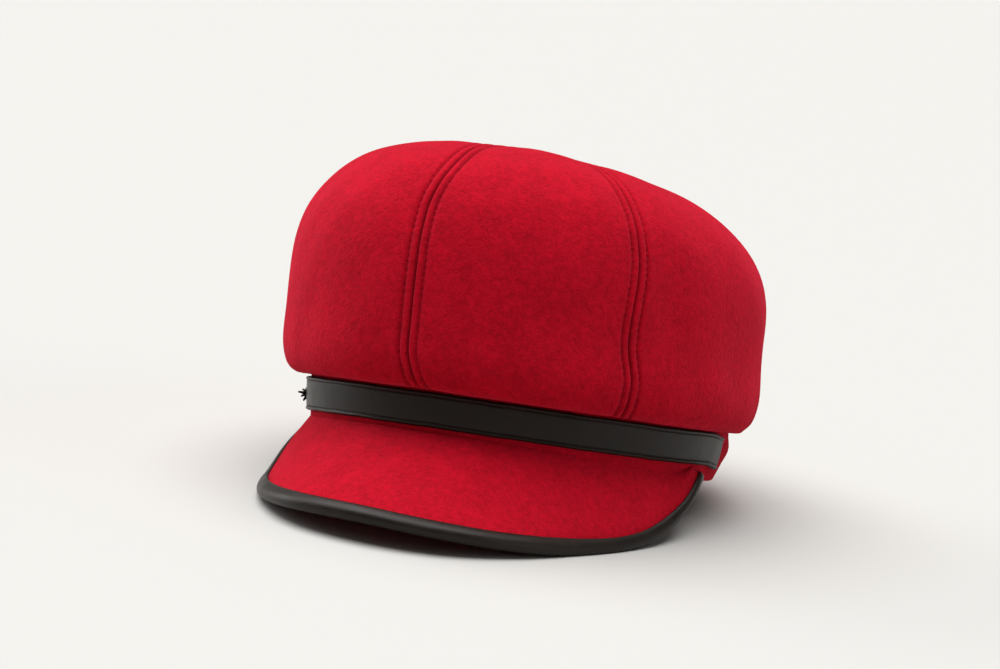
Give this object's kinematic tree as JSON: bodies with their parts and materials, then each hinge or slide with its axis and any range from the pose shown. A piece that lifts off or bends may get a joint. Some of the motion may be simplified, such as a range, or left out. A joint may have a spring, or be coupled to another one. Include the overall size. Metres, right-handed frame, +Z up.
{
  "type": "peaked cap",
  "caption": "Soft peaked cap with a full paneled crown, an upright band, a leather strap across the front and a cloth peak edged in leather",
  "frame": {"origin": "on the floor, under the middle of the cap's bounding box", "axes": "+X the wearer's left, +Y the back of the head, +Z up from the floor the cap stands on"},
  "size_m": [0.1914, 0.2676, 0.1439],
  "materials": {
    "crown_cloth": "matte fulled wool",
    "band_cloth": "matte fulled wool",
    "peak_cloth": "matte fulled wool",
    "strap_leather": "matte, faint grain",
    "binding_leather": "matte, soft sheen along the roll"
  },
  "bodies": {
    "root": {"crown_panel_front_left": "crown_cloth", "crown_panel_side_left": "crown_cloth", "crown_panel_back_left": "crown_cloth", "crown_panel_back_right": "crown_cloth", "crown_panel_side_right": "crown_cloth", "crown_panel_front_right": "crown_cloth", "band": "band_cloth", "strap": "strap_leather", "peak": "peak_cloth", "peak_binding": "binding_leather"}
  },
  "joints": []
}
